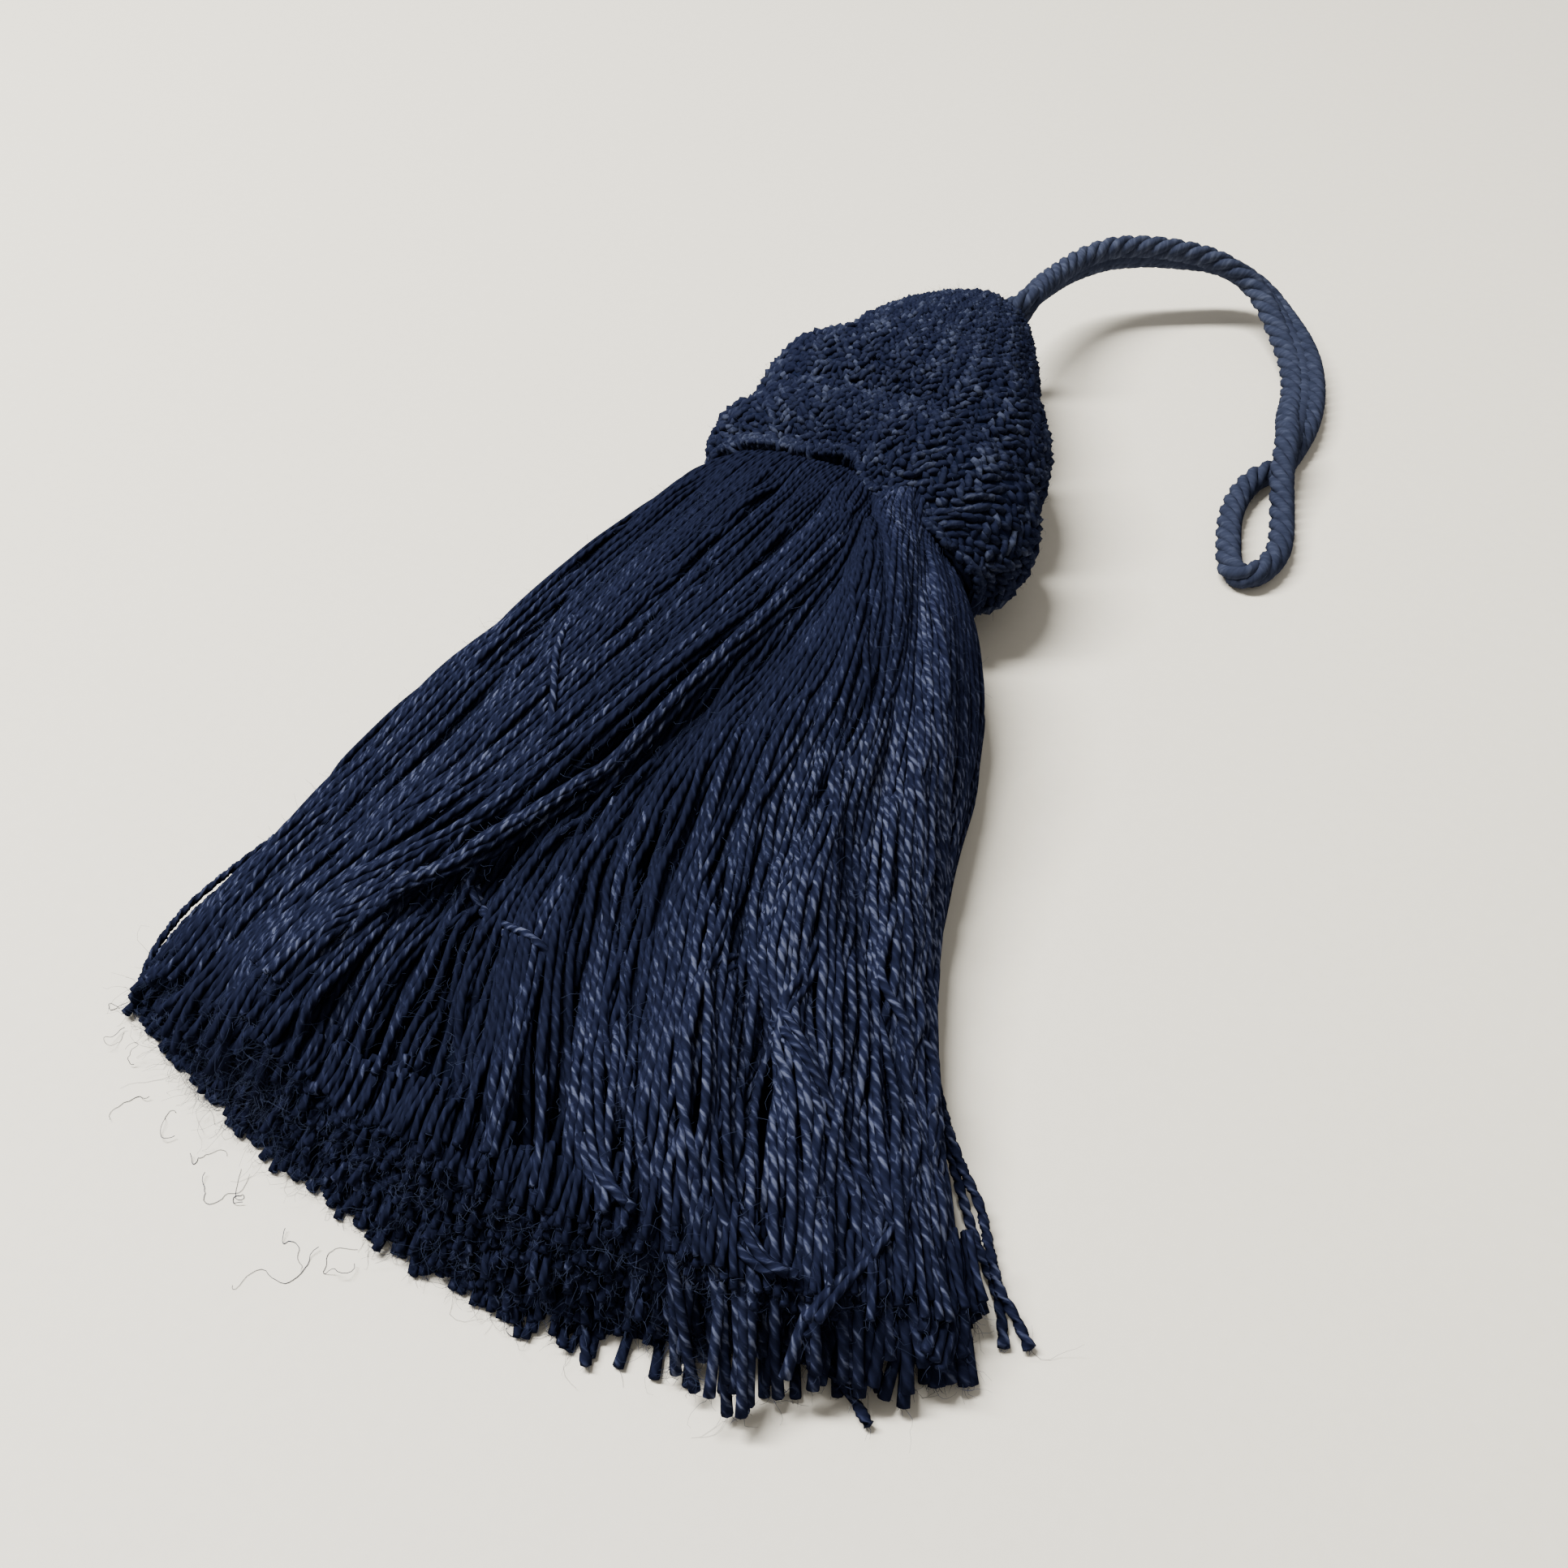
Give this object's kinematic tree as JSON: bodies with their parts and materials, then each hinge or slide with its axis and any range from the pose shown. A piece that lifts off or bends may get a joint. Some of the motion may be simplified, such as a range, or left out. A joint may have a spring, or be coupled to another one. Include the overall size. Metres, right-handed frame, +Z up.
{
  "type": "tassel",
  "caption": "Navy yarn tassel lying on its side: a spread skirt of cut strands, a knitted cap over the head and a doubled cord loop to hang it by.",
  "frame": {"origin": "on the surface it lies on, under the middle of the box round the skirt and the cap", "axes": "+Z up from the surface, +Y from the cut edge of the skirt to the top of the cap, +X to the right seen from above with the cap at the top"},
  "size_m": [0.0704, 0.1568, 0.018],
  "materials": {
    "skirt_yarn": "soft sheen",
    "cap_knit": "soft sheen",
    "loop_yarn": "soft sheen"
  },
  "bodies": {
    "root": {"skirt": "skirt_yarn", "cap": "cap_knit", "loop_cord": "loop_yarn"}
  },
  "joints": []
}
